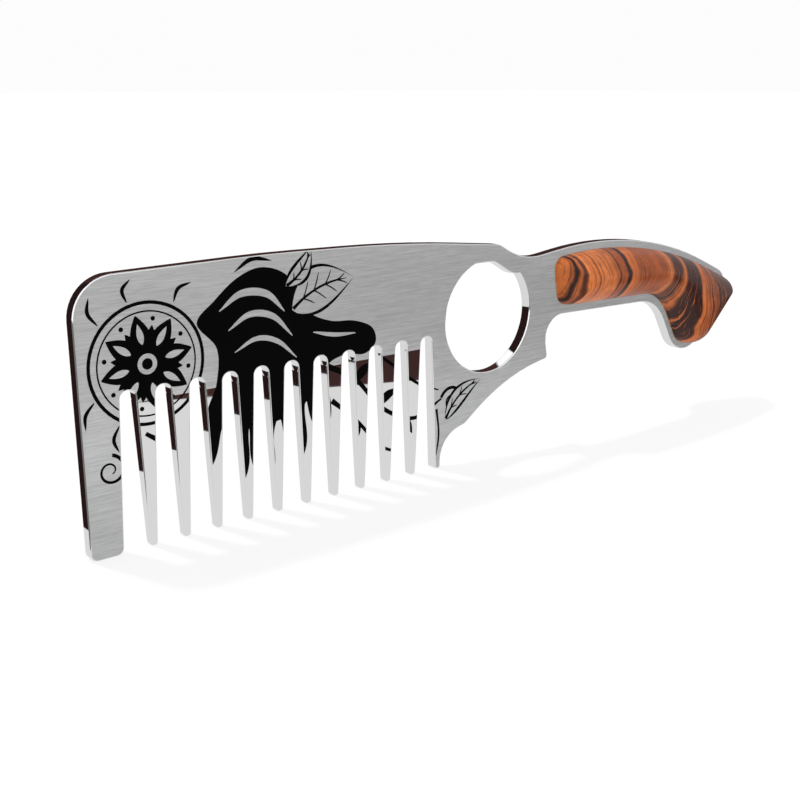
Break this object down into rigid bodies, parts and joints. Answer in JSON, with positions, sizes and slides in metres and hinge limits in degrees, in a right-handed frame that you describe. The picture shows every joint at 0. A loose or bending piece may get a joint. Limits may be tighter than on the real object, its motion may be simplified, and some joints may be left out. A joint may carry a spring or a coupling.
{
  "type": "beard comb",
  "caption": "Upright wide-toothed steel beard comb with a finger ring and a hooked tang that carries a domed hardwood grip scale on its front.",
  "frame": {"origin": "halfway along the comb's length and depth, at the level of the tooth tips", "axes": "+X along the comb from the blade's free end to the butt of the grip, +Y from the decorated front face to the back, +Z from the tooth tips to the spine"},
  "size_m": [0.2134, 0.0118, 0.0601],
  "materials": {
    "steel": "stainless sheet, brushed along its length, with polished ground teeth and rounded edges",
    "wood": "striped reddish-brown hardwood, oiled and buffed to a gloss",
    "epoxy": "cured clear adhesive, hidden",
    "pin_steel": "plain steel dowel, hidden"
  },
  "bodies": {
    "root": {"comb_plate": "steel", "grip_scale": "wood", "scale_bond": "epoxy", "front_pin": "pin_steel", "middle_pin": "pin_steel", "pommel_pin": "pin_steel"}
  },
  "joints": []
}
